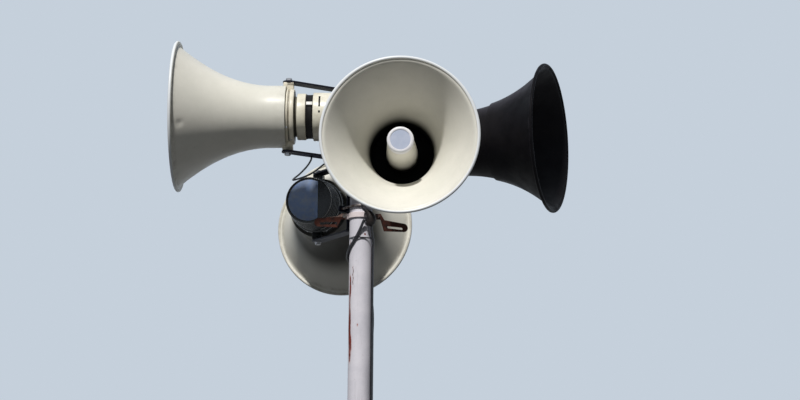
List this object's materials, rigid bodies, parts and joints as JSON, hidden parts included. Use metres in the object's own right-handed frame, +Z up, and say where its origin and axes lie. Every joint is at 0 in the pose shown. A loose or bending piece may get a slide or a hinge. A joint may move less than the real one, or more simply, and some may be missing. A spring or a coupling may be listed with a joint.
{
  "type": "siren tower",
  "caption": "Pipe mast on a bolted base flange that carries flared re-entrant warning horns facing outwards, each in a U-yoke clamped to the mast.",
  "frame": {"origin": "centre of the base flange's underside, on the mast's centre line", "axes": "+Z up the mast, -Y towards the front horn's mouth, +X towards the dark right horn"},
  "size_m": [1.3255, 1.2835, 3.5779],
  "materials": {
    "mast_paint": "weathered satin paint",
    "base_steel": "weathered satin paint",
    "strap_rust": "rusted",
    "bell_cream": "satin enamel",
    "bell_dark": "satin enamel",
    "ring_cream": "satin enamel",
    "driver_cream": "satin enamel",
    "driver_grey": "satin enamel",
    "driver_dark": "ribbed, satin",
    "band_black": "matte",
    "yoke_black": "weathered satin paint",
    "bolt_steel": "dull zinc"
  },
  "bodies": {
    "mast": {"mast_pipe": "mast_paint", "mast_cap": "mast_paint", "base_flange": "base_steel", "base_gussets": "base_steel", "cross_strap": "strap_rust", "back_strap": "strap_rust", "strap_bolts": "bolt_steel", "left_yoke": "yoke_black", "left_ubolts": "bolt_steel", "front_yoke": "yoke_black", "front_ubolts": "bolt_steel", "right_yoke": "yoke_black", "right_ubolts": "bolt_steel", "rear_yoke": "yoke_black", "rear_ubolts": "bolt_steel"},
    "left_horn": {"left_bell": "bell_cream", "left_bullet": "bell_cream", "left_ring": "ring_cream", "left_drum": "driver_cream", "left_band": "band_black", "left_cover": "driver_cream", "left_pivot_bolts": "bolt_steel"},
    "front_horn": {"front_bell": "bell_cream", "front_bullet": "bell_cream", "front_ring": "ring_cream", "front_drum": "driver_cream", "front_band": "band_black", "front_cover": "driver_cream", "front_pivot_bolts": "bolt_steel"},
    "right_horn": {"right_bell": "bell_dark", "right_bullet": "bell_dark", "right_ring": "bell_dark", "right_drum": "bell_dark", "right_band": "band_black", "right_cover": "bell_dark", "right_pivot_bolts": "bolt_steel"},
    "rear_horn": {"rear_bell": "bell_cream", "rear_bullet": "bell_cream", "rear_ring": "driver_dark", "rear_drum": "driver_dark", "rear_band": "band_black", "rear_cover": "driver_grey", "rear_pivot_bolts": "bolt_steel"}
  },
  "joints": [
    {"name": "left_horn_turn", "type": "hinge", "parent": "mast", "child": "left_horn", "pos_m": [-0.24116, -0.15187, 3.328], "axis": [0, 0, 1], "range_deg": [-20, 20]},
    {"name": "front_horn_turn", "type": "hinge", "parent": "mast", "child": "front_horn", "pos_m": [0.13817, -0.24927, 3.164], "axis": [0, 0, 1], "range_deg": [-20, 20]},
    {"name": "right_horn_turn", "type": "hinge", "parent": "mast", "child": "right_horn", "pos_m": [0.28076, 0.049, 3.283], "axis": [0, 0, 1], "range_deg": [-20, 20]},
    {"name": "rear_horn_turn", "type": "hinge", "parent": "mast", "child": "rear_horn", "pos_m": [-0.15187, 0.24116, 3.102], "axis": [0, 0, 1], "range_deg": [-20, 20]}
  ]
}
